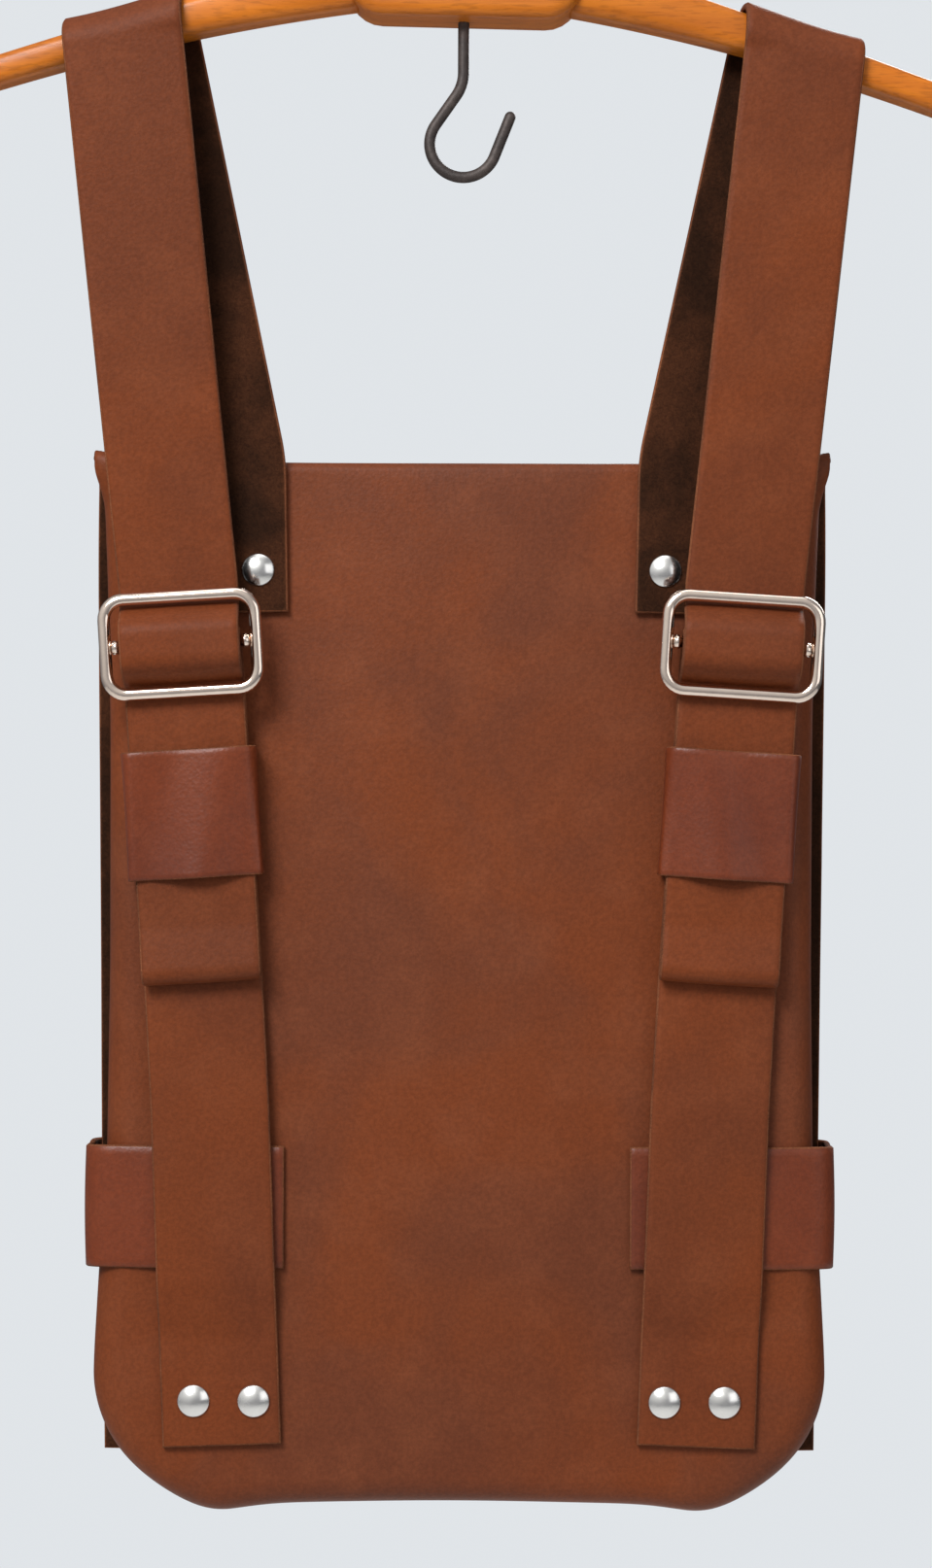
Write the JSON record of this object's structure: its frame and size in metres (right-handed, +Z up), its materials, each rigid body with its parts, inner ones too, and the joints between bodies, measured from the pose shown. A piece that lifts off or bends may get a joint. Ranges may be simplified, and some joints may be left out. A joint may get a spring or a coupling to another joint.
{
  "type": "leather backpack on a coat hanger",
  "caption": "Flat leather backpack with a turned-over flap, closure band and buckled shoulder straps, hung on a wooden coat hanger with an under-hook.",
  "frame": {"origin": "seat inside the top hook, where the rail carries the hanger and the bag", "axes": "+Z up, +X to the right as seen from the strap side, -Y towards that side (the wearer's back)"},
  "size_m": [0.4402, 0.0855, 0.6441],
  "materials": {
    "panel_leather": "cognac waxed full-grain leather, faintly mottled, suede inside",
    "strap_leather": "cognac bridle leather, cut edges, dark suede back",
    "rivet_nickel": "polished nickel plate",
    "buckle_metal": "pale champagne plate, polished",
    "varnished_wood": "honey-orange gloss varnish over fine straight grain",
    "dowel_wood": "bare beech",
    "dark_iron": "brown-black oxidised iron wire",
    "hook_steel": "plated steel wire"
  },
  "bodies": {
    "hook": {"top_hook": "hook_steel"},
    "bag": {"back_panel": "panel_leather", "front_panel": "panel_leather", "gusset": "panel_leather", "closure_band": "panel_leather", "strap_left": "strap_leather", "strap_right": "strap_leather", "bottom_rivet_caps": "rivet_nickel", "bottom_rivet_posts": "rivet_nickel", "bottom_rivet_backs": "rivet_nickel", "top_rivet_caps": "rivet_nickel", "top_rivet_posts": "rivet_nickel", "top_rivet_backs": "rivet_nickel", "band_rivet_caps": "rivet_nickel", "band_rivet_posts": "rivet_nickel", "band_rivet_backs": "rivet_nickel", "hanger_block": "varnished_wood", "hanger_arm_left": "varnished_wood", "hanger_arm_right": "varnished_wood", "arm_dowels": "dowel_wood", "under_hook": "dark_iron", "hook_collar": "hook_steel"},
    "flap": {"flap": "panel_leather"},
    "slider_left": {"slider_frame_left": "buckle_metal", "slider_bar_left": "buckle_metal"},
    "slider_right": {"slider_frame_right": "buckle_metal", "slider_bar_right": "buckle_metal"},
    "keeper_left": {"keeper_left": "strap_leather"},
    "keeper_right": {"keeper_right": "strap_leather"}
  },
  "joints": [
    {"name": "hook_swivel", "type": "hinge", "parent": "hook", "child": "bag", "pos_m": [0, 0, -0.062], "axis": [0, 0, 1], "continuous": true},
    {"name": "flap_hinge", "type": "hinge", "parent": "bag", "child": "flap", "pos_m": [0, 0.0137, -0.2554], "axis": [1, 0, 0], "range_deg": [0, 90], "deforming": ["closure_band"]},
    {"name": "slider_left_rock", "type": "hinge", "parent": "bag", "child": "slider_left", "pos_m": [-0.1031, -0.0032, -0.3225], "axis": [0.998, 0, 0.0628], "range_deg": [-4, 4]},
    {"name": "slider_right_rock", "type": "hinge", "parent": "bag", "child": "slider_right", "pos_m": [0.1031, -0.0032, -0.3225], "axis": [0.998, 0, -0.0628], "range_deg": [-4, 4]},
    {"name": "keeper_left_slide", "type": "slide", "parent": "bag", "child": "keeper_left", "axis": [-0.0628, 0, 0.998], "range_m": [-0.02, 0.015]},
    {"name": "keeper_right_slide", "type": "slide", "parent": "bag", "child": "keeper_right", "axis": [0.0628, 0, 0.998], "range_m": [-0.02, 0.015]}
  ]
}
